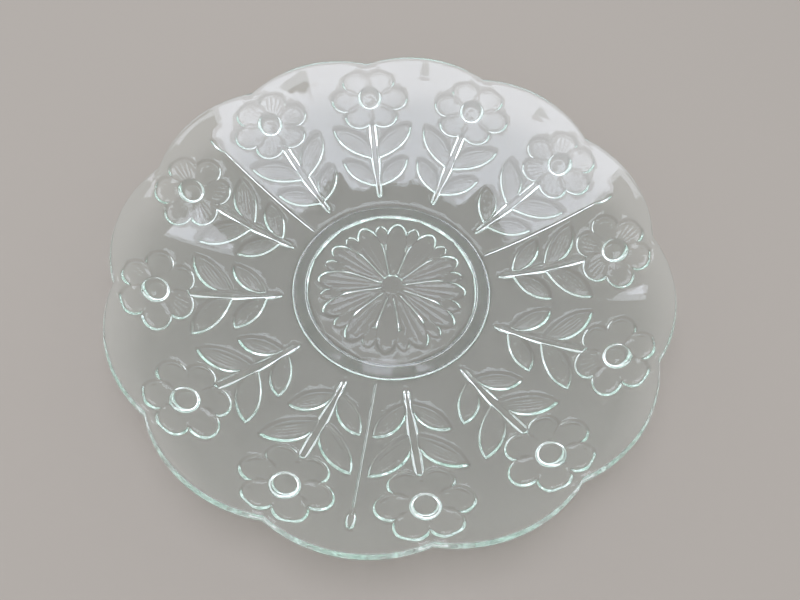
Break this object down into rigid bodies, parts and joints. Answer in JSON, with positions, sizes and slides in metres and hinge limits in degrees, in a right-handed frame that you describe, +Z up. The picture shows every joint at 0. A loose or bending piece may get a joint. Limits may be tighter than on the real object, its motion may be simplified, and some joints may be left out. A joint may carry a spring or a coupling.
{
  "type": "cake plate",
  "caption": "Scalloped clear pressed-glass cake plate on a low foot ring, with flowers, leaves and a rosette moulded in the underside.",
  "frame": {"origin": "centre of the foot ring's resting face, on the surface that the plate stands on", "axes": "+Z up along the plate's axis; +Y through the middle of one flower panel and its rim notch; +X through the panel a quarter turn on"},
  "size_m": [0.308, 0.308, 0.039],
  "materials": {
    "clear_glass": "clear pressed glass with a faint green tint in its thick edges, fire-polished above and softly moulded below"
  },
  "bodies": {
    "root": {"cake_plate": "clear_glass"}
  },
  "joints": []
}
